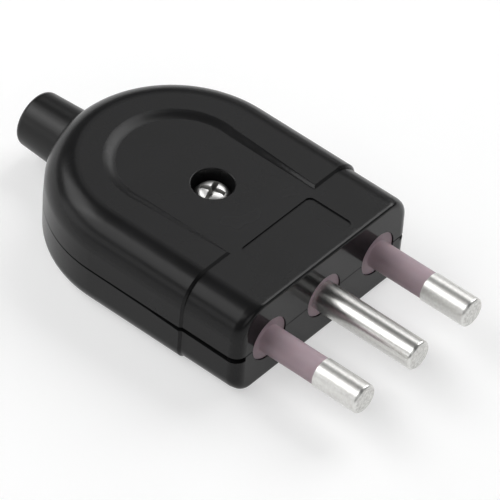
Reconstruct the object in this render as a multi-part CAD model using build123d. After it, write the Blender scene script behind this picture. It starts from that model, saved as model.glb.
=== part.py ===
from build123d import *
import math
import os

os.makedirs("parts", exist_ok=True)

# A rewirable three-pin mains plug in two screwed shells, without its cord.
# Millimetres, +Z up. The pins point along -Y and the cord enters along +Y.
# The origin is on the earth pin's axis, in the plane of the front face.
# The shells part at z = 0, the height of the pins' axes.

# Pins and their insulation
pin_pitch = 13.0            # from one pin's axis to the next
pin_dia = 5.0
pin_length = 19.0           # how far each pin stands out of the front face
pin_edge = 0.5              # length of the rounded edge at the tip
pin_edge_in = 0.42          # how far that edge comes in
pin_bulge = 0.08            # height of the nearly flat end face
edge_fullness = 0.68        # 0.5 would be a plain bevel, 0.71 a full quarter round
shank_dia = 3.4             # the thinner part under the sleeve
neck_dia = 4.2              # the earth pin inside its collar
sleeve_dia = 4.66
sleeve_length = 10.5        # insulated part of an outer pin
collar_dia = 7.6            # the disc that shows in the front face
collar_sunk = 0.25          # its face lies this far behind the front face
flange_dia = 9.4            # the hidden rim that holds the collar in
flange_thick = 1.6
root_blend = 0.2            # fillet where the sleeve leaves its collar

# Terminals
head_width = 7.0
head_length = 9.5
head_height = 7.0
head_edge = 0.4
tunnel_dia = 3.6            # wire hole, open to the rear
tunnel_depth = 8.0
tunnel_drop = 0.5           # the wire hole lies this far under the pin's axis
terminal_screw_dia = 3.5
terminal_head_dia = 5.4
terminal_head_height = 1.9
terminal_head_edge = 0.3
terminal_travel = 0.5       # gap left under a terminal screw's head
screw_slot_width = 0.8
screw_slot_depth = 0.9
plate_width = 2.6
plate_length = 6.4
plate_thick = 0.5
plate_lip = 0.9             # the turned-up end at the mouth of the wire hole
plate_out = 0.6             # how far that end stands out of the head
plate_bend = 0.45           # rounding where the end turns up
screw_from_rear = 4.6       # terminal screw's axis, from the head's rear face

# Housing, outside
half_width = 20.9           # of the main body at the parting plane
arc_centre = 30.0           # y where the straight sides meet the round rear
step_y = 11.1               # rear edge of the front block
step = 0.4                  # how far the front block lies below the body's skin
step_rest = 0.02            # part of the step that is left upright under its bevel
band_top = 8.75             # height of the raised band round the tongue
floor_bottom = -7.8
top_round = 5.3             # large rounding along the cover's outer edge
bottom_round = 3.2
bottom_inner_round = 1.6    # rounding of the hollow in the bottom shell
corner_round = 2.0          # upright corners beside the front face
corner_share = 0.6          # how much of that rounding the large one gives up at the front face
nose_cuts = [0.0, 0.03, 0.1, 0.25, 0.5, 0.75, 1.0]      # where the rounded front is cut, in corner_round
front_round = 0.5           # rounding along the front face's top edge
bottom_front_round = 0.6
draft = 1.2                 # degrees, the sides away from the parting plane
tongue_half = 9.95          # flat tongue that runs back from the block
slope_front = 0.45          # width of the slope beside the tongue, at the block
slope_side = 1.6            # the same where the sides end
slope_nose = 2.2            # the same at the round rear end
side_end = 28.5             # y where the slope's outer edge starts to turn
slope_shares = [0.0, 0.12, 0.5, 0.88, 1.0]      # soft S section of the slope, across
slope_rises = [0.0, 0.05, 0.5, 0.95, 1.0]       # and its height at each place
label_half = 8.4            # shallow bare panel on the block
label_front = 1.9
label_rear = 10.7
label_corner = 1.0
label_depth = 0.25
seam_depth = 1.0            # open joint under the cover's edge
seam_line = 0.15            # its height along the front face
seam_corner = 0.225         # the same where the front face meets its round corners
seam_run = 2.0              # length over which the one becomes the other
seam_heights = [(0.0, 1.0), (step_y, 0.85), (18.0, 0.5), (30.0, 0.32), (44.0, 0.12)]

# Housing, inside
wall = 2.0
ceiling_thick = 1.8
floor_thick = 1.8
collar_wall = 2.4           # front wall in front of the flanges
front_relief = 0.15         # the front wall stays this far off the terminal heads
lip_height = 1.2            # locating lip of the bottom shell
lip_thick = 1.0
lip_root = 0.8              # its foot below the level where it is joined to the wall
lip_join = 0.3              # how far the foot reaches into the wall
rib = 1.4                   # walls between the terminals
rib_end = 17.0
hold_rib = 1.0              # ribs that keep the terminals down
pad_width = 4.2
pad_length = 7.0

# Cover screw and nut
screw_y = 23.2
well_dia = 6.9
well_round = 0.2
head_sunk = 1.35            # top of the screw's head below the tongue
cover_screw_dia = 3.0
cover_head_dia = 5.8
cover_head_height = 2.0
cover_head_rim = 1.1        # upright part of the head
crown_drop = 0.22           # fall of the crown at the given share of the radius
crown_share = 0.8
cross_span = 4.2
cross_width = 0.95
cross_depth = 1.2
cross_turn = 20.0           # degrees, as the screw was left standing
cross_taper = 14.0
cross_core_dia = 1.9        # the round middle of the recess
cross_core_extra = 0.3
cross_core_taper = 20.0
boss_dia = 9.8
nut_flats = 5.5
nut_thick = 2.4
nut_depth = 0.8             # nut's outer face above the underside
screw_tail = 0.3            # thread that shows past the nut

# Cord entry and clamp
cord_dia = 7.0
bush_drop = 1.1             # the cord's axis below the parting plane
bush_base_dia = 10.4
bush_end_dia = 9.5
bush_out = 8.9              # how far the bush stands out of the rear
bush_end_round = 1.0
bush_mouth_round = 0.2
bush_flange_dia = 11.8
bush_flange_thick = 1.8
bush_inner = 1.6            # length inside its flange
bush_wall = 2.8             # housing wall outside the flange
seat_lead = 1.0             # the seat's block starts this far inside the bush
seat_half = 8.6             # half-width of the block that holds the bush
clamp_y = 38.5
clamp_reach = 9.0           # clamp screws from the middle
clamp_length = 6.0
clamp_thick = 1.8
clamp_ear = 3.1             # ear past the screw's axis
clamp_corner = 1.6
clamp_boss_dia = 5.6
clamp_screw_dia = 2.9
clamp_head_dia = 5.0
clamp_head_height = 1.7
clamp_head_round = 0.6
clamp_screw_length = 5.6
clamp_screw_point = 0.8     # bevel at its end
clamp_screw_room = 0.3      # depth left under its end
saddle_thick = 1.6
saddle_drop = 0.6           # the saddle's ends lie this far below the cord's axis

# Fits
close_fit = 0.05            # radial, between turned and moulded pieces
loose_fit = 0.15            # radial, where a piece drops into its seat
hole_fit = 0.2              # radial, round a screw that passes through
ended = 0.1                 # gap left where ribs of the two shells face

# Helpers for cutting and joining
past = 1.0                  # cutting solids run this far past what they cut
sunk = 0.5                  # joined solids run this far into each other
shank_sunk = 0.2            # the same for a screw's shank in its head
nearly = 0.01               # tolerance for picking edges, and the least overlap

# Worked-out places
block_top = band_top - step
ceiling = block_top - ceiling_thick
cavity_floor = floor_bottom + floor_thick
head_front = collar_wall + flange_thick
head_rear = head_front + head_length
terminal_y = head_rear - screw_from_rear
tunnel_z = -tunnel_drop
plate_half = plate_width / 2 + close_fit
plate_top = tunnel_z + math.sqrt((tunnel_dia / 2) ** 2 - plate_half ** 2) - close_fit
rear_end = arc_centre + half_width
cord_z = -bush_drop
flange_rear = rear_end - bush_wall
flange_front = flange_rear - bush_flange_thick
bush_start = flange_front - bush_inner
bush_end = rear_end + bush_out
head_seat = block_top - head_sunk - cover_head_height
nut_seat = floor_bottom + nut_depth + nut_thick
clamp_seat = cord_z + ended


def along_y(shape, y, x=0.0, z=0.0):
    """Turns a solid built up +Z so that it runs along +Y from the given place."""
    return Pos(x, y, z) * Rot(-90, 0, 0) * shape


def rod(dia, y0, y1, x=0.0, z=0.0):
    """A round bar along Y."""
    bar = Cylinder(dia / 2, y1 - y0, align=(Align.CENTER, Align.CENTER, Align.MIN))
    return along_y(bar, y0, x, z)


def post(dia, z0, z1, x=0.0, y=0.0):
    """A round bar along Z."""
    bar = Cylinder(dia / 2, z1 - z0, align=(Align.CENTER, Align.CENTER, Align.MIN))
    return Pos(x, y, z0) * bar


def block(x0, x1, y0, y1, z0, z1):
    """A box between two corners."""
    centre = Pos((x0 + x1) / 2, (y0 + y1) / 2, (z0 + z1) / 2)
    return centre * Box(x1 - x0, y1 - y0, z1 - z0)


def plan(half, front):
    """The housing seen from above: straight sides and a half-round rear."""
    sides = Pos(0, (front + arc_centre) / 2) * Rectangle(2 * half, arc_centre - front)
    return sides + Pos(0, arc_centre) * Circle(half)


def rounded_body(half, front, height, radius, lean):
    """A body drawn up from the parting plane, rounded along its far edge except in front."""
    body = extrude(plan(half, front), amount=height, taper=lean)
    far = body.edges().group_by(Axis.Z)[-1]
    chain = far.filter_by(lambda e: e.center().Y > front + past)
    return fillet(chain, radius)


def quarter(radius, y):
    """How far a quarter-round edge of this radius lies in, at a distance behind the front face."""
    rest = max(radius - y, 0.0)
    return radius - math.sqrt(radius ** 2 - rest ** 2)


def block_outline(half, height, radius, edge_round, y):
    """The front block cut across, at a distance behind the front face."""
    side_in = quarter(corner_round, y)
    top = height - quarter(edge_round, y)
    foot = half - side_in
    lean = top * math.tan(math.radians(draft))
    corners = [(-foot, 0), (foot, 0), (foot - lean, top), (-foot + lean, top)]
    outline = make_face(Polyline(*corners, close=True))
    outline = fillet(outline.vertices().group_by(Axis.Y)[-1], radius - side_in * corner_share)
    return Plane.XZ.offset(-y) * outline


def front_block(half, height, radius, edge_round):
    """The front block, rounded all round its front face: widely up the sides, narrowly along the edge."""
    nose = loft([block_outline(half, height, radius, edge_round, y * corner_round) for y in nose_cuts])
    full = block_outline(half, height, radius, edge_round, corner_round)
    return nose + extrude(full, amount=-(step_y + past - corner_round))


def outer_half(height, radius, edge_round, front_step):
    """One shell's outside, drawn up from z = 0: the front block and the prouder body behind it."""
    bar = front_block(half_width - step, height - front_step, radius, edge_round)
    wide = half_width + past
    body = rounded_body(half_width, step_y - 5 * past, height, radius, draft)
    body -= block(-wide, wide, step_y - 6 * past, step_y, -past, height + past)
    bevel = body.faces().sort_by(Axis.Y)[0].edges().filter_by(lambda e: e.center().Z > nearly)
    body = chamfer(bevel, step - step_rest)
    return bar + body


def cavity(height, radius):
    """The hollow of one shell, drawn up from z = 0."""
    half = half_width - wall
    body = extrude(plan(half, head_front - front_relief), amount=height, taper=draft)
    far = body.edges().group_by(Axis.Z)[-1]
    chain = far.filter_by(lambda e: e.center().Y > head_front + past)
    return fillet(chain, radius)


def tongue_outline(share, z):
    """Outline of the tongue's slope: share 0 is the flat tongue, share 1 the band's edge."""
    front = tongue_half + slope_front * share
    side = tongue_half + slope_side * share
    nose = arc_centre + tongue_half + slope_nose * share
    low = step_y - 2 * past
    path = Polyline((-side, side_end), (-front, low), (front, low), (side, side_end))
    arc = ThreePointArc((side, side_end), (0, nose), (-side, side_end))
    return Pos(0, 0, z) * make_face(path + arc)


def tongue_cutter():
    """What is taken off the cover to leave the tongue level with the block."""
    sections = []
    for share, rise in zip(slope_shares, slope_rises):
        sections.append(tongue_outline(share, block_top + step * rise))
    slope = loft(sections)
    above = extrude(tongue_outline(1.0, band_top), amount=past)
    return slope + above


def label_cutter():
    """The shallow bare panel on the front block."""
    width = 2 * label_half
    length = label_rear - label_front
    centre = Pos(0, (label_front + label_rear) / 2, block_top)
    return extrude(centre * RectangleRounded(width, length, label_corner), amount=label_depth, both=True)


def collar_holes():
    """Stepped round holes for the three collars and their flanges."""
    holes = []
    for x in (-pin_pitch, 0.0, pin_pitch):
        holes.append(rod(collar_dia + 2 * close_fit, -past, collar_wall, x))
        holes.append(rod(flange_dia + 2 * loose_fit, collar_wall, head_front + nearly, x))
    return holes


def bush_holes():
    """Room for the bush and its flange in the rear wall."""
    neck = bush_base_dia + 2 * loose_fit
    return [
        rod(neck, flange_rear - nearly, rear_end + past, 0, cord_z),
        rod(bush_flange_dia + 2 * loose_fit, flange_front, flange_rear, 0, cord_z),
        rod(neck, bush_start - seat_lead - past, flange_front + nearly, 0, cord_z),
    ]


def bush_seat(z0, z1):
    """The block of housing that holds the bush's flange."""
    return block(-seat_half, seat_half, bush_start - seat_lead, rear_end, z0, z1)


def lip_ring(outer, inner, z0, z1):
    """A wall that follows the housing's plan between two half-widths."""
    ring = plan(outer, head_front) - plan(inner, head_front + lip_thick)
    return Pos(0, 0, z0) * extrude(ring, amount=z1 - z0)


def seam_cutter():
    """The open joint under the cover's edge, wide beside the front block and closing towards the rear."""
    ring = plan(half_width + past, -past) - plan(half_width - seam_depth, step_y)
    inner = half_width - step - seam_depth
    base = Pos(0, (step_y + seam_depth) / 2) * Rectangle(2 * inner, step_y - seam_depth)
    ring -= fillet(base.vertices().group_by(Axis.Y)[0], corner_round - seam_depth)
    side = [(-2 * past, 0.0), (-2 * past, -seam_heights[0][1])]
    side += [(y, -height) for y, height in seam_heights]
    side += [(rear_end + 2 * past, -seam_heights[-1][1]), (rear_end + 2 * past, 0.0)]
    wedge = Plane.YZ * make_face(Polyline(*side, close=True))
    cutter = extrude(ring, amount=-2 * past) & extrude(wedge, amount=half_width + 2 * past, both=True)
    reach = half_width - step - corner_round
    thin = reach - seam_run
    front = [(-reach, 0), (-reach, -seam_corner), (-thin, -seam_line)]
    front += [(thin, -seam_line), (reach, -seam_corner), (reach, 0)]
    slit = extrude(Plane.XZ * make_face(Polyline(*front, close=True)), amount=3 * past, both=True)
    cutter -= block(-reach, reach, -2 * past, seam_depth, -3 * past, past)
    return cutter + (slit & block(-reach, reach, -past, seam_depth, -3 * past, past))


def make_top_cover():
    """The deep upper shell, with the tongue, the bare panel and the screw's well."""
    outside = outer_half(band_top, top_round, front_round, step)
    outside -= tongue_cutter()
    hollow = cavity(ceiling, top_round - wall)
    shell = outside - hollow
    roof = ceiling + sunk
    inside = block(-half_width, half_width, head_front - sunk, rear_end - sunk, 0, roof)
    fittings = bush_seat(ended, roof)
    fittings += post(boss_dia, ended, roof, 0, screw_y)
    for x in (-pin_pitch / 2, pin_pitch / 2):
        fittings += block(x - rib / 2, x + rib / 2, head_front - sunk, rib_end, ended, roof)
    half = half_width - wall / 2
    fittings += block(-half, half, head_rear - hold_rib, head_rear, head_height / 2 + ended, roof)
    shell += fittings & inside & outside
    shell -= label_cutter()
    shell -= post(well_dia, head_seat, band_top + past, 0, screw_y)
    rim = shell.edges().filter_by(GeomType.CIRCLE).filter_by(
        lambda e: abs(e.center().Z - block_top) < nearly and abs(e.radius - well_dia / 2) < nearly)
    shell = fillet(rim, well_round)
    shell -= post(cover_screw_dia + 2 * hole_fit, -past, head_seat + past, 0, screw_y)
    for hole in collar_holes() + bush_holes():
        shell -= hole
    wide = half_width + past
    shell -= block(-wide, wide, -past, rear_end + past, -band_top, 0)
    return shell


def make_bottom_shell():
    """The shallow lower shell, which carries the terminals, the nut and the cord clamp."""
    flip = Rot(0, 180, 0)
    outside = flip * outer_half(-floor_bottom, bottom_round, bottom_front_round, 0.0)
    hollow = flip * cavity(-cavity_floor, bottom_inner_round)
    shell = outside - hollow
    low = cavity_floor - sunk
    fittings = bush_seat(low, -ended)
    fittings += post(boss_dia, low, -ended, 0, screw_y)
    for x in (-pin_pitch / 2, pin_pitch / 2):
        fittings += block(x - rib / 2, x + rib / 2, head_front - sunk, rib_end, low, -ended)
    pad_start = head_front + (head_length - pad_length) / 2
    pad_end = pad_start + pad_length
    for x in (-pin_pitch, 0.0, pin_pitch):
        fittings += block(x - pad_width / 2, x + pad_width / 2, pad_start, pad_end, low, -head_height / 2)
    for x in (-clamp_reach, clamp_reach):
        fittings += post(clamp_boss_dia, low, clamp_seat, x, clamp_y)
    saddle_y = clamp_y - saddle_thick / 2
    saddle_top = cord_z - saddle_drop
    saddle = block(-clamp_reach, clamp_reach, saddle_y, saddle_y + saddle_thick, low, saddle_top)
    fittings += saddle - rod(cord_dia, clamp_y - clamp_length, clamp_y + clamp_length, 0, cord_z)
    half = half_width - wall
    lip_out = half - loose_fit
    lip_foot = -lip_height - lip_root
    lip = lip_ring(lip_out, lip_out - lip_thick, lip_foot, lip_height)
    lip += lip_ring(half + lip_join, lip_out - lip_thick, lip_foot, 0.0)
    lip -= block(-half_width, half_width, -past, head_rear + past, -band_top, band_top)
    gap = seat_half + sunk
    lip -= block(-gap, gap, bush_start - 2 * past, rear_end + past, -band_top, band_top)
    shell += fittings & outside
    shell += lip
    screw_end = clamp_seat - clamp_screw_length - clamp_screw_room
    for x in (-clamp_reach, clamp_reach):
        shell -= post(clamp_screw_dia + 2 * close_fit, screw_end, 0, x, clamp_y)
    shell -= post(cover_screw_dia + 2 * hole_fit, floor_bottom - past, past, 0, screw_y)
    pocket = RegularPolygon(nut_flats / 2 + loose_fit, 6, major_radius=False)
    shell -= Pos(0, screw_y, floor_bottom - past) * extrude(pocket, amount=nut_seat - floor_bottom + past)
    for hole in collar_holes() + bush_holes():
        shell -= hole
    shell -= seam_cutter()
    return shell


def pin_tip(x, y_full):
    """The full-diameter end of a pin, from y_full out to the rounded tip."""
    radius = pin_dia / 2
    ring = -pin_length + pin_edge
    face_radius = radius - pin_edge_in
    face_rim = -pin_length + pin_bulge
    ball = (face_radius ** 2 + pin_bulge ** 2) / (2 * pin_bulge)
    middle = -pin_length + ball - math.sqrt(ball ** 2 - (face_radius / 2) ** 2)
    shoulder = (face_radius + pin_edge_in * edge_fullness, ring - (pin_edge - pin_bulge) * edge_fullness)
    outline = Polyline((0, y_full), (radius, y_full), (radius, ring))
    edge = ThreePointArc((radius, ring), shoulder, (face_radius, face_rim))
    dome = ThreePointArc((face_radius, face_rim), (face_radius / 2, middle), (0, -pin_length))
    face = make_face(outline + edge + dome + Line((0, -pin_length), (0, y_full)))
    return Pos(x, 0, 0) * revolve(face, axis=Axis.Y)


def terminal_head(x):
    """The square clamp end of a pin, with its wire hole and screw hole."""
    centre = Pos(x, (head_front + head_rear) / 2, 0)
    head = centre * Box(head_width, head_length, head_height)
    head = chamfer(head.edges().filter_by(Axis.Y), head_edge)
    head -= rod(tunnel_dia, head_rear - tunnel_depth, head_rear + past, x, tunnel_z)
    head -= post(terminal_screw_dia + 2 * close_fit, tunnel_z, head_height, x, terminal_y)
    return head


def make_line_pin(x):
    """An outer pin: thick tip, thin shank under the sleeve, clamp head."""
    shank = rod(shank_dia, -sleeve_length - sunk, head_front + sunk, x)
    return pin_tip(x, -sleeve_length) + shank + terminal_head(x)


def make_earth_pin():
    """The middle pin, bare and full thickness down to its collar."""
    neck = rod(neck_dia, -sunk, head_front + sunk)
    return pin_tip(0.0, collar_sunk) + neck + terminal_head(0.0)


def collar(x, bore, sleeve_end):
    """A moulded collar with its hidden flange, drawn out to a sleeve where sleeve_end is below 0."""
    body = rod(collar_dia, collar_sunk, collar_wall, x) + rod(flange_dia, collar_wall, head_front, x)
    if sleeve_end < 0:
        body += rod(sleeve_dia, sleeve_end, collar_sunk + sunk, x)
        circles = body.edges().filter_by(GeomType.CIRCLE)
        root = circles.filter_by(
            lambda e: abs(e.center().Y - collar_sunk) < nearly and abs(e.radius - sleeve_dia / 2) < nearly)
        body = fillet(root, root_blend)
    return body - rod(bore + 2 * close_fit, sleeve_end - past, head_front + past, x)


def make_terminal_screw(x):
    """A slotted screw that stands on the pressure plate."""
    under = head_height / 2 + terminal_travel
    screw = post(terminal_screw_dia, plate_top, under, x, terminal_y)
    head = post(terminal_head_dia, under, under + terminal_head_height, x, terminal_y)
    head = chamfer(head.edges().group_by(Axis.Z)[-1], terminal_head_edge)
    top = under + terminal_head_height
    half = terminal_head_dia / 2
    slot_y = terminal_y - screw_slot_width / 2
    slot = block(x - half, x + half, slot_y, slot_y + screw_slot_width, top - screw_slot_depth, top + past)
    return screw + head - slot


def make_pressure_plate(x):
    """The small bent plate that lies on the wires, under the screw's end."""
    rear = head_rear + plate_out
    start = rear - plate_length
    flat = block(x - plate_width / 2, x + plate_width / 2, start, rear, plate_top - plate_thick, plate_top)
    lip = block(x - plate_width / 2, x + plate_width / 2, rear - plate_thick, rear,
                plate_top - plate_thick, plate_top + plate_lip)
    plate = flat + lip
    corner = plate.edges().filter_by(Axis.X).sort_by(Axis.Y)[-2:].sort_by(Axis.Z)[0]
    return fillet(corner, plate_bend)


def make_cover_screw():
    """A pan-head screw with a cross recess, down through both shells into the nut."""
    radius = cover_head_dia / 2
    top = head_seat + cover_head_height
    edge = head_seat + cover_head_rim
    side = Polyline((0, head_seat), (radius, head_seat), (radius, edge))
    crown = ThreePointArc((radius, edge), (radius * crown_share, top - crown_drop), (0, top))
    face = make_face(side + crown + Line((0, top), (0, head_seat)))
    head = revolve(Plane.XZ * face, axis=Axis.Z)
    recess = Part()
    for turn in (0, 90):
        slot = Rectangle(cross_span, cross_width)
        place = Pos(0, 0, top) * Rot(0, 0, turn + cross_turn)
        recess += extrude(place * slot, amount=-cross_depth, taper=cross_taper)
    core_depth = cross_depth + cross_core_extra
    core = extrude(Pos(0, 0, top) * Circle(cross_core_dia / 2), amount=-core_depth, taper=cross_core_taper)
    head -= recess + core + Pos(0, 0, cross_core_extra) * recess
    shank = post(cover_screw_dia, nut_seat - nut_thick - screw_tail, head_seat + shank_sunk)
    return Pos(0, screw_y, 0) * (head + shank)


def make_cover_nut():
    """The hexagon nut in the underside."""
    hexagon = RegularPolygon(nut_flats / 2, 6, major_radius=False)
    nut = Pos(0, screw_y, nut_seat - nut_thick) * extrude(hexagon, amount=nut_thick)
    return nut - post(cover_screw_dia + 2 * close_fit, floor_bottom - past, 0, 0, screw_y)


def make_cord_clamp():
    """A saddle that holds the cord down between two screws."""
    inner = cord_dia / 2
    outer = inner + clamp_thick
    reach = clamp_reach + clamp_ear
    bar = Pos(0, clamp_seat + clamp_thick / 2) * Rectangle(2 * reach, clamp_thick)
    arch = Pos(0, clamp_seat) * Circle(outer)
    below = Pos(0, clamp_seat - outer) * Rectangle(4 * outer, 2 * outer)
    section = bar + arch - Pos(0, clamp_seat) * Circle(inner) - below
    clamp = extrude(Plane.XZ * section, amount=-clamp_length)
    clamp = Pos(0, clamp_y - clamp_length / 2, 0) * clamp
    corners = clamp.edges().filter_by(Axis.Z).filter_by(lambda e: abs(e.center().X) > reach - nearly)
    clamp = fillet(corners, clamp_corner)
    hole_top = clamp_seat + clamp_thick + past
    for x in (-clamp_reach, clamp_reach):
        clamp -= post(clamp_screw_dia + 2 * hole_fit, clamp_seat - past, hole_top, x, clamp_y)
    return clamp


def make_clamp_screw(x):
    """A short slotted screw that cuts its own thread in the shell."""
    seat = clamp_seat + clamp_thick
    end = clamp_seat - clamp_screw_length
    shank = post(clamp_screw_dia, end, seat + shank_sunk, x, clamp_y)
    shank = chamfer(shank.edges().group_by(Axis.Z)[0], clamp_screw_point)
    head = post(clamp_head_dia, seat, seat + clamp_head_height, x, clamp_y)
    head = fillet(head.edges().group_by(Axis.Z)[-1], clamp_head_round)
    top = seat + clamp_head_height
    half = clamp_head_dia / 2
    slot_y = clamp_y - screw_slot_width / 2
    slot = block(x - half, x + half, slot_y, slot_y + screw_slot_width, top - screw_slot_depth, top + past)
    return shank + head - slot


def make_cable_bush():
    """The soft bush that the cord passes through, held in the rear wall by its flange."""
    base = bush_base_dia / 2
    flange = bush_flange_dia / 2
    bore = cord_dia / 2
    outline = Polyline(
        (bore, bush_start), (base, bush_start), (base, flange_front + close_fit),
        (flange, flange_front + close_fit), (flange, flange_rear - close_fit),
        (base, flange_rear - close_fit), (base, rear_end), (bush_end_dia / 2, bush_end),
        (bore, bush_end), close=True)
    body = revolve(make_face(outline), axis=Axis.Y)
    far = body.edges().filter_by(GeomType.CIRCLE).group_by(Axis.Y)[-1]
    body = fillet(far.sort_by(lambda e: e.radius)[-1], bush_end_round)
    far = body.edges().filter_by(GeomType.CIRCLE).group_by(Axis.Y)[-1]
    body = fillet(far.sort_by(lambda e: e.radius)[0], bush_mouth_round)
    return Pos(0, 0, cord_z) * body


pieces = {
    "top_cover": make_top_cover(),
    "bottom_shell": make_bottom_shell(),
    "cover_screw": make_cover_screw(),
    "cover_nut": make_cover_nut(),
    "left_line_pin": make_line_pin(-pin_pitch),
    "right_line_pin": make_line_pin(pin_pitch),
    "earth_pin": make_earth_pin(),
    "left_pin_sleeve": collar(-pin_pitch, shank_dia, -sleeve_length),
    "right_pin_sleeve": collar(pin_pitch, shank_dia, -sleeve_length),
    "earth_pin_collar": collar(0.0, neck_dia, 0.0),
    "cord_clamp": make_cord_clamp(),
    "left_clamp_screw": make_clamp_screw(-clamp_reach),
    "right_clamp_screw": make_clamp_screw(clamp_reach),
    "cable_bush": make_cable_bush(),
}
for side, x in (("left", -pin_pitch), ("earth", 0.0), ("right", pin_pitch)):
    pieces[side + "_terminal_screw"] = make_terminal_screw(x)
    pieces[side + "_pressure_plate"] = make_pressure_plate(x)

for name, piece in pieces.items():
    export_step(piece, "parts/" + name + ".step")
    print(name, round(piece.volume, 1))
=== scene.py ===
import bpy
import math
from mathutils import Matrix, Vector


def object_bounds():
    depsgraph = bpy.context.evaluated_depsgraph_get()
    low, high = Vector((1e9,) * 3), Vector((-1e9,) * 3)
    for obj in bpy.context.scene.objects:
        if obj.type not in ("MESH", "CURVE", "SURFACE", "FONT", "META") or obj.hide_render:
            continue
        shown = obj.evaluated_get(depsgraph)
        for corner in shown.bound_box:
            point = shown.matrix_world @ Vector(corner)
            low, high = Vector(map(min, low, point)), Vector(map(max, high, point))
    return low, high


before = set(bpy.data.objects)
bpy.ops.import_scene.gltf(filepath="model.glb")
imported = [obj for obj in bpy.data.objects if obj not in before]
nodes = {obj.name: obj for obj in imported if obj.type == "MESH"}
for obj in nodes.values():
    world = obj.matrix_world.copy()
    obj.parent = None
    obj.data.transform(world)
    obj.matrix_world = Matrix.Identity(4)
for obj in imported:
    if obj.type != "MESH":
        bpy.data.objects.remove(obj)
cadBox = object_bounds()
print("frame loaded")

mm = 0.001      # in metres
# places of the Mix node's sockets, as several of them have the same name
mixShare, firstValue, secondValue, firstColour, secondColour = 0, 2, 3, 6, 7
mixedValue, mixedColour = 0, 2


def hexToLinear(code):
    # the standard curve of sRGB
    channels = [int(code[i:i + 2], 16) / 255 for i in (1, 3, 5)]
    return tuple(c / 12.92 if c < 0.04045 else ((c + 0.055) / 1.055) ** 2.4 for c in channels) + (1,)


def addNode(tree, kind, settings=None, links=None):
    # a setting is a property of the node or a socket's value, and a link names the socket that it goes into
    node = tree.nodes.new(kind)
    for key, value in (settings or {}).items():
        if isinstance(key, str) and hasattr(node, key):
            setattr(node, key, value)
        else:
            node.inputs[key].default_value = value
    for key, socket in (links or {}).items():
        tree.links.new(socket, node.inputs[key])
    return node


def newMaterial(name, settings):
    material = bpy.data.materials.new(name)
    material.use_nodes = True
    tree = material.node_tree
    tree.nodes.clear()
    shader = addNode(tree, "ShaderNodeBsdfPrincipled", settings)
    addNode(tree, "ShaderNodeOutputMaterial", links={"Surface": shader.outputs[0]})
    return material, tree, shader


def setMaterial(material, *names):
    for name in names:
        for slot in nodes[name].material_slots:
            slot.material = material


housing = {
    "shade": "#141414", "worn": "#1b1b1c", "cloudMm": 9,
    "ior": 1.3, "roughness": 0.26, "unevenness": 0.04,
    "faceRoughness": 0.13, "faceEndMm": 0.1, "satinStartMm": 0.6,       # both behind the front face
    # the real grain is finer: this is as fine as shows
    "grainMm": 0.35, "grainDepthMm": 0.002, "grainStrength": 0.35,
    "handledMm": 2.2, "handledDepthMm": 0.0012, "handledStrength": 0.3,
}


def mouldedAbs():
    # ABS from a satin steel mould: black, with soft wide highlights and a faint grain.
    # It shines less than plain ABS, which has an IOR of 1.53, because the mould was satin.
    # The front face was against a polished plate, so it mirrors the pins more sharply.
    material, tree, shader = newMaterial("mouldedAbs", {"IOR": housing["ior"]})
    place = addNode(tree, "ShaderNodeTexCoord").outputs["Object"]
    cloud = addNode(tree, "ShaderNodeTexNoise",
                    {"Scale": 1 / (housing["cloudMm"] * mm), "Detail": 3}, {"Vector": place})
    tones = {"data_type": "RGBA",
             firstColour: hexToLinear(housing["shade"]), secondColour: hexToLinear(housing["worn"])}
    colour = addNode(tree, "ShaderNodeMix", tones, {mixShare: cloud.outputs[0]})
    tree.links.new(colour.outputs[mixedColour], shader.inputs["Base Color"])
    spread = {"To Min": housing["roughness"] - housing["unevenness"],
              "To Max": housing["roughness"] + housing["unevenness"]}
    satin = addNode(tree, "ShaderNodeMapRange", spread, {"Value": cloud.outputs[0]})
    y = addNode(tree, "ShaderNodeSeparateXYZ", links={0: place}).outputs["Y"]
    depths = {"From Min": housing["faceEndMm"] * mm, "From Max": housing["satinStartMm"] * mm}
    behind = addNode(tree, "ShaderNodeMapRange", depths, {"Value": y})
    rough = addNode(tree, "ShaderNodeMix", {firstValue: housing["faceRoughness"]},
                    {mixShare: behind.outputs[0], secondValue: satin.outputs[0]})
    tree.links.new(rough.outputs[mixedValue], shader.inputs["Roughness"])
    handled = addNode(tree, "ShaderNodeTexNoise",
                      {"Scale": 1 / (housing["handledMm"] * mm), "Detail": 1}, {"Vector": place})
    wave = addNode(tree, "ShaderNodeBump",
                   {"Strength": housing["handledStrength"], "Distance": housing["handledDepthMm"] * mm},
                   {"Height": handled.outputs[0]})
    grain = addNode(tree, "ShaderNodeTexNoise",
                    {"Scale": 1 / (housing["grainMm"] * mm), "Detail": 2}, {"Vector": place})
    bump = addNode(tree, "ShaderNodeBump",
                   {"Strength": housing["grainStrength"], "Distance": housing["grainDepthMm"] * mm},
                   {"Height": grain.outputs[0], "Normal": wave.outputs[0]})
    tree.links.new(bump.outputs[0], shader.inputs["Normal"])
    return material


pins = {
    "nickel": "#e4e4e1", "tarnish": "#d9d8d5", "endTarnish": "#c2c1be",
    "cloudMm": 0.5, "patchStart": 0.35, "patchFull": 0.65,
    "lineRoughness": 0.36, "earthRoughness": 0.3, "endRoughness": 0.45, "unevenness": 0.1,
    "markMm": 0.12, "markDepthMm": 0.0012, "grainMm": 0.35, "grainDepthMm": 0.006, "grainStrength": 0.4,
    "endStartMm": 18.9,         # just behind the pin's end, from the front face
    "scratchMm": 0.5, "scratchDepthMm": 0.04, "scratchBend": 1.5, "scratchStrength": 0.5,
}


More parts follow.
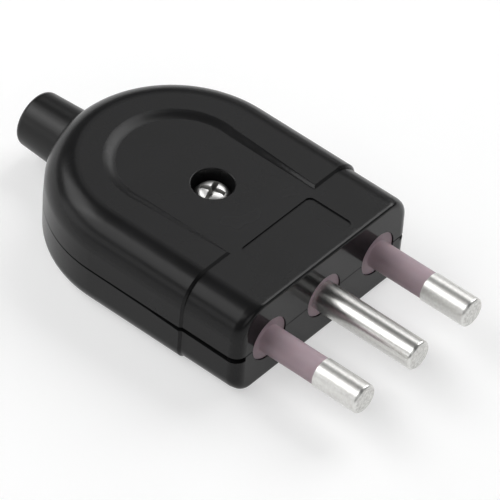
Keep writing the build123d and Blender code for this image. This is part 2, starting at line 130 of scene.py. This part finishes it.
def turnedNickel(name, roughness):
    # nickel plate on turned brass: fine tool marks run round the pin, so it shines softly along its length.
    # The end was cut off, which leaves it scratched, rougher and a patchy, duller grey.
    material, tree, shader = newMaterial(name, {"Metallic": 1.0})
    place = addNode(tree, "ShaderNodeTexCoord").outputs["Object"]
    y = addNode(tree, "ShaderNodeSeparateXYZ", links={0: place}).outputs["Y"]
    atEnd = addNode(tree, "ShaderNodeMath", {"operation": "LESS_THAN", 1: -pins["endStartMm"] * mm}, {0: y})
    cloud = addNode(tree, "ShaderNodeTexNoise",
                    {"Scale": 1 / (pins["cloudMm"] * mm), "Detail": 3}, {"Vector": place})
    limits = {"From Min": pins["patchStart"], "From Max": pins["patchFull"]}
    patchy = addNode(tree, "ShaderNodeMapRange", limits, {"Value": cloud.outputs[0]})
    surfaces = []       # the side, then the end
    for tarnish in (pins["tarnish"], pins["endTarnish"]):
        tones = {"data_type": "RGBA",
                 firstColour: hexToLinear(pins["nickel"]), secondColour: hexToLinear(tarnish)}
        surfaces.append(addNode(tree, "ShaderNodeMix", tones, {mixShare: patchy.outputs[0]}))
    side, end = (surface.outputs[mixedColour] for surface in surfaces)
    colour = addNode(tree, "ShaderNodeMix", {"data_type": "RGBA"},
                     {mixShare: atEnd.outputs[0], firstColour: side, secondColour: end})
    tree.links.new(colour.outputs[mixedColour], shader.inputs["Base Color"])
    marks = addNode(tree, "ShaderNodeTexNoise",
                    {"noise_dimensions": "1D", "Scale": 1 / (pins["markMm"] * mm), "Detail": 2}, {"W": y})
    spread = {"To Min": roughness * (1 - pins["unevenness"]),
              "To Max": roughness * (1 + pins["unevenness"])}
    smear = addNode(tree, "ShaderNodeMapRange", spread, {"Value": marks.outputs[0]})
    rough = addNode(tree, "ShaderNodeMix", {secondValue: pins["endRoughness"]},
                    {mixShare: atEnd.outputs[0], firstValue: smear.outputs[0]})
    tree.links.new(rough.outputs[mixedValue], shader.inputs["Roughness"])
    bent = {"Scale": 1 / (pins["scratchMm"] * mm), "Detail": 3, "Distortion": pins["scratchBend"]}
    scratches = addNode(tree, "ShaderNodeTexNoise", bent, {"Vector": place})
    cut = addNode(tree, "ShaderNodeMath", {"operation": "MULTIPLY"},
                  {0: atEnd.outputs[0], 1: scratches.outputs[0]})
    bump = addNode(tree, "ShaderNodeBump",
                   {"Strength": pins["scratchStrength"], "Distance": pins["scratchDepthMm"] * mm},
                   {"Height": cut.outputs[0]})
    grain = addNode(tree, "ShaderNodeTexNoise",
                    {"Scale": 1 / (pins["grainMm"] * mm), "Detail": 3}, {"Vector": place})
    for pattern, depthMm in ((marks, pins["markDepthMm"]), (grain, pins["grainDepthMm"])):
        bump = addNode(tree, "ShaderNodeBump",
                       {"Strength": pins["grainStrength"], "Distance": depthMm * mm},
                       {"Height": pattern.outputs[0], "Normal": bump.outputs[0]})
    tree.links.new(bump.outputs[0], shader.inputs["Normal"])
    return material


sleeves = {
    "shade": "#b29ea6", "dark": "#a28e96", "ior": 1.46, "roughness": 0.5,
    "softShare": 0.08, "softDepthMm": 0.6,      # the light that goes in, and how far
    "cloudMm": 2.5, "cloudDepthMm": 0.01, "cloudStrength": 0.2,
}


def mouldedNylon():
    # unpainted mauve nylon moulded over the pins: matt, slightly cloudy, a little light goes into it
    settings = {"IOR": sleeves["ior"], "Roughness": sleeves["roughness"],
                "Subsurface Weight": sleeves["softShare"], "Subsurface Scale": sleeves["softDepthMm"] * mm}
    material, tree, shader = newMaterial("mouldedNylon", settings)
    place = addNode(tree, "ShaderNodeTexCoord").outputs["Object"]
    cloud = addNode(tree, "ShaderNodeTexNoise",
                    {"Scale": 1 / (sleeves["cloudMm"] * mm), "Detail": 4}, {"Vector": place})
    tones = {"data_type": "RGBA",
             firstColour: hexToLinear(sleeves["shade"]), secondColour: hexToLinear(sleeves["dark"])}
    colour = addNode(tree, "ShaderNodeMix", tones, {mixShare: cloud.outputs[0]})
    tree.links.new(colour.outputs[mixedColour], shader.inputs["Base Color"])
    bump = addNode(tree, "ShaderNodeBump",
                   {"Strength": sleeves["cloudStrength"], "Distance": sleeves["cloudDepthMm"] * mm},
                   {"Height": cloud.outputs[0]})
    tree.links.new(bump.outputs[0], shader.inputs["Normal"])
    return material


fittings = {
    # shade and roughness
    "brightZinc": ("#f0f0ee", 0.4), "passivatedZinc": ("#cfc7a0", 0.3), "rolledBrass": ("#cfa95a", 0.3),
    "smoothest": 0.7, "roughest": 1.4,          # shares of that roughness
    "cloudMm": 0.8, "unevenMm": 0.01, "unevenStrength": 0.3,
    "recess": "#a4a4a2", "recessMm": 0.6,       # the cross's colour (painted shade in the recess, partly duller plating too) and how far below the top of the head it reaches
}


def fittingMetal(name, headTop=None):
    # small stamped or turned metal parts, zinc plated or bare: bright but slightly uneven.
    # Below the top of a screw's head its cross is darker: painted shade in the recess, and partly the
    # thinner plating that gets in there.
    shade, roughness = fittings[name]
    material, tree, shader = newMaterial(name, {"Metallic": 1.0, "Base Color": hexToLinear(shade)})
    place = addNode(tree, "ShaderNodeTexCoord").outputs["Object"]
    if headTop is not None:
        # painted shade: the cross darkens with its depth below the top of the head
        z = addNode(tree, "ShaderNodeSeparateXYZ", links={0: place}).outputs["Z"]
        depths = {"From Min": headTop, "From Max": headTop - fittings["recessMm"] * mm}
        inRecessShade = addNode(tree, "ShaderNodeMapRange", depths, {"Value": z})
        tones = {"data_type": "RGBA",
                 firstColour: hexToLinear(shade), secondColour: hexToLinear(fittings["recess"])}
        colour = addNode(tree, "ShaderNodeMix", tones, {mixShare: inRecessShade.outputs[0]})
        tree.links.new(colour.outputs[mixedColour], shader.inputs["Base Color"])
    cloud = addNode(tree, "ShaderNodeTexNoise",
                    {"Scale": 1 / (fittings["cloudMm"] * mm), "Detail": 4}, {"Vector": place})
    spread = {"To Min": roughness * fittings["smoothest"], "To Max": roughness * fittings["roughest"]}
    smear = addNode(tree, "ShaderNodeMapRange", spread, {"Value": cloud.outputs[0]})
    tree.links.new(smear.outputs[0], shader.inputs["Roughness"])
    bump = addNode(tree, "ShaderNodeBump",
                   {"Strength": fittings["unevenStrength"], "Distance": fittings["unevenMm"] * mm},
                   {"Height": cloud.outputs[0]})
    tree.links.new(bump.outputs[0], shader.inputs["Normal"])
    return material


bush = {
    "shade": "#0a0a0a", "bloom": "#121212", "ior": 1.38, "roughness": 0.34, "patchMm": 3,
    "grainMm": 0.3, "grainDepthMm": 0.01, "grainStrength": 0.4,
}


def softRubber():
    # moulded rubber: black, matt, with a light bloom in patches, which also takes off some of its shine
    material, tree, shader = newMaterial("softRubber", {"IOR": bush["ior"], "Roughness": bush["roughness"]})
    place = addNode(tree, "ShaderNodeTexCoord").outputs["Object"]
    cloud = addNode(tree, "ShaderNodeTexNoise",
                    {"Scale": 1 / (bush["patchMm"] * mm), "Detail": 5}, {"Vector": place})
    tones = {"data_type": "RGBA",
             firstColour: hexToLinear(bush["shade"]), secondColour: hexToLinear(bush["bloom"])}
    colour = addNode(tree, "ShaderNodeMix", tones, {mixShare: cloud.outputs[0]})
    tree.links.new(colour.outputs[mixedColour], shader.inputs["Base Color"])
    grain = addNode(tree, "ShaderNodeTexNoise",
                    {"Scale": 1 / (bush["grainMm"] * mm), "Detail": 2}, {"Vector": place})
    bump = addNode(tree, "ShaderNodeBump",
                   {"Strength": bush["grainStrength"], "Distance": bush["grainDepthMm"] * mm},
                   {"Height": grain.outputs[0]})
    tree.links.new(bump.outputs[0], shader.inputs["Normal"])
    return material


screwTop = max(corner[2] for corner in nodes["cover_screw"].bound_box)
setMaterial(mouldedAbs(), "top_cover", "bottom_shell", "cord_clamp")
setMaterial(turnedNickel("turnedNickel", pins["lineRoughness"]), "left_line_pin", "right_line_pin")
setMaterial(turnedNickel("polishedNickel", pins["earthRoughness"]), "earth_pin")
setMaterial(mouldedNylon(), "left_pin_sleeve", "right_pin_sleeve", "earth_pin_collar")
setMaterial(fittingMetal("brightZinc", screwTop), "cover_screw")
setMaterial(fittingMetal("brightZinc"), "cover_nut")
setMaterial(fittingMetal("passivatedZinc"), "left_terminal_screw", "earth_terminal_screw",
            "right_terminal_screw", "left_clamp_screw", "right_clamp_screw")
setMaterial(fittingMetal("rolledBrass"), "left_pressure_plate", "earth_pressure_plate",
            "right_pressure_plate")
setMaterial(softRubber(), "cable_bush")
print("materials done")

lamps = [
    # name, direction from the plug, distance, width, height in metres, brightness
    ("rightSoftbox", (0.74, -0.03, 0.67), 1.1, 0.75, 0.75, 4.2),
    ("rearSoftbox", (-0.15, 0.74, 0.66), 1.1, 0.6, 0.55, 3.4),
    ("leftSoftbox", (-0.52, 0.46, 0.72), 1.1, 0.75, 0.6, 2.5),
    ("lowLeftStrip", (-0.69, 0.64, 0.24), 1.1, 0.95, 0.3, 1.6),
    ("rearFill", (0.56, 0.48, 0.68), 1.1, 0.42, 0.38, 0.95),
    ("lowRightStrip", (0.86, 0.43, 0.24), 1.1, 0.5, 0.1, 0.7),
    ("frontSoftbox", (0.45, -0.8, 0.40), 1.1, 0.5, 0.25, 0.8),
    ("cameraFill", (-0.55, -0.6, 0.62), 1.3, 0.9, 0.8, 1.2),
]
plugCentre = Vector((0, 0.015, 0))
for name, direction, distance, width, height, brightness in lamps:
    light = bpy.data.lights.new(name, "AREA")
    light.shape = "RECTANGLE"
    light.size = width
    light.size_y = height
    light.energy = brightness * math.pi * width * height        # watts, for the same brightness at any size
    lamp = bpy.data.objects.new(name, light)
    lamp.location = plugCentre + Vector(direction).normalized() * distance
    lamp.rotation_euler = (plugCentre - lamp.location).to_track_quat("-Z", "Y").to_euler()
    bpy.context.scene.collection.objects.link(lamp)
print("lamps done")

paper = {"shade": "#c4c4c4", "roughness": 0.9, "glowShade": "#ffffff", "glow": 0.47, "sizeM": 6.0}
bpy.ops.object.select_all(action="DESELECT")
bpy.ops.mesh.primitive_plane_add(size=paper["sizeM"], location=(0, 0, cadBox[0][2]))
floor = bpy.context.object
bpy.ops.object.transform_apply(location=True, rotation=True, scale=True)
floor.name = "studioFloor"
# matt studio paper: the camera and the mirrors see it lifted to white, and it lights nothing more for that
settings = {"Base Color": hexToLinear(paper["shade"]), "Roughness": paper["roughness"],
            "Emission Color": hexToLinear(paper["glowShade"])}
material, tree, shader = newMaterial("paperFloor", settings)
rays = addNode(tree, "ShaderNodeLightPath")
seen = rays.outputs["Is Camera Ray"]
for kind in ("Is Glossy Ray", "Is Transmission Ray"):
    either = addNode(tree, "ShaderNodeMath", {"operation": "MAXIMUM"}, {0: seen, 1: rays.outputs[kind]})
    seen = either.outputs[0]
lift = addNode(tree, "ShaderNodeMath", {"operation": "MULTIPLY", 1: paper["glow"]}, {0: seen})
tree.links.new(lift.outputs[0], shader.inputs["Emission Strength"])
floor.data.materials.append(material)
print("floor done")

room = {
    # brightness: the walls and ceiling, and the band along the horizon at the sides and behind the plug
    "shade": "#ffffff", "upper": 0.05, "side": 0.3, "rear": 1.3,
    "bandTop": 0.1, "bandSoft": 0.06, "rearStart": 0.5, "rearFull": 0.75,       # parts of a unit direction
}
world = bpy.data.worlds.new("studioRoom")
bpy.context.scene.world = world
world.use_nodes = True
tree = world.node_tree
tree.nodes.clear()
outward = addNode(tree, "ShaderNodeTexCoord").outputs["Generated"]
parts = addNode(tree, "ShaderNodeSeparateXYZ", links={0: outward})
towardsRear = {"From Min": room["rearStart"], "From Max": room["rearFull"],
               "To Min": room["side"], "To Max": room["rear"]}
horizon = addNode(tree, "ShaderNodeMapRange", towardsRear, {"Value": parts.outputs["Y"]})
upwards = {"From Min": room["bandTop"], "From Max": room["bandTop"] + room["bandSoft"],
           "To Max": room["upper"]}
strength = addNode(tree, "ShaderNodeMapRange", upwards,
                   {"Value": parts.outputs["Z"], "To Min": horizon.outputs[0]})
glow = addNode(tree, "ShaderNodeBackground",
               {"Color": hexToLinear(room["shade"])}, {"Strength": strength.outputs[0]})
addNode(tree, "ShaderNodeOutputWorld", links={"Surface": glow.outputs[0]})
print("room done")

camera = {
    # degrees, metres from the target, and the lens in pixels of a picture 500 wide
    "azimuth": -53.255, "elevation": 43.531, "roll": 5.3, "target": (-0.00026, 0.01473, 0),
    "distanceM": 0.833135, "focalPx": 5386.0, "pictureWidthPx": 500, "sensorMm": 36, "clipStartM": 0.01,
}
azimuth, elevation, roll = (math.radians(camera[key]) for key in ("azimuth", "elevation", "roll"))
back = Vector((math.sin(azimuth) * math.cos(elevation), -math.cos(azimuth) * math.cos(elevation),
               math.sin(elevation)))
level = Vector((0, 0, 1)).cross(back).normalized()
upright = back.cross(level)
right = level * math.cos(roll) + upright * math.sin(roll)
up = back.cross(right)
lens = bpy.data.cameras.new("photoCamera")
lens.sensor_width = camera["sensorMm"]
lens.lens = camera["focalPx"] / camera["pictureWidthPx"] * camera["sensorMm"]
lens.clip_start = camera["clipStartM"]
photoCamera = bpy.data.objects.new("photoCamera", lens)
position = Vector(camera["target"]) + back * camera["distanceM"]
photoCamera.matrix_world = Matrix.Translation(position) @ Matrix((right, up, back)).transposed().to_4x4()
bpy.context.scene.collection.objects.link(photoCamera)
bpy.context.scene.camera = photoCamera
bpy.context.scene.view_settings.view_transform = "Standard"
print("camera done")
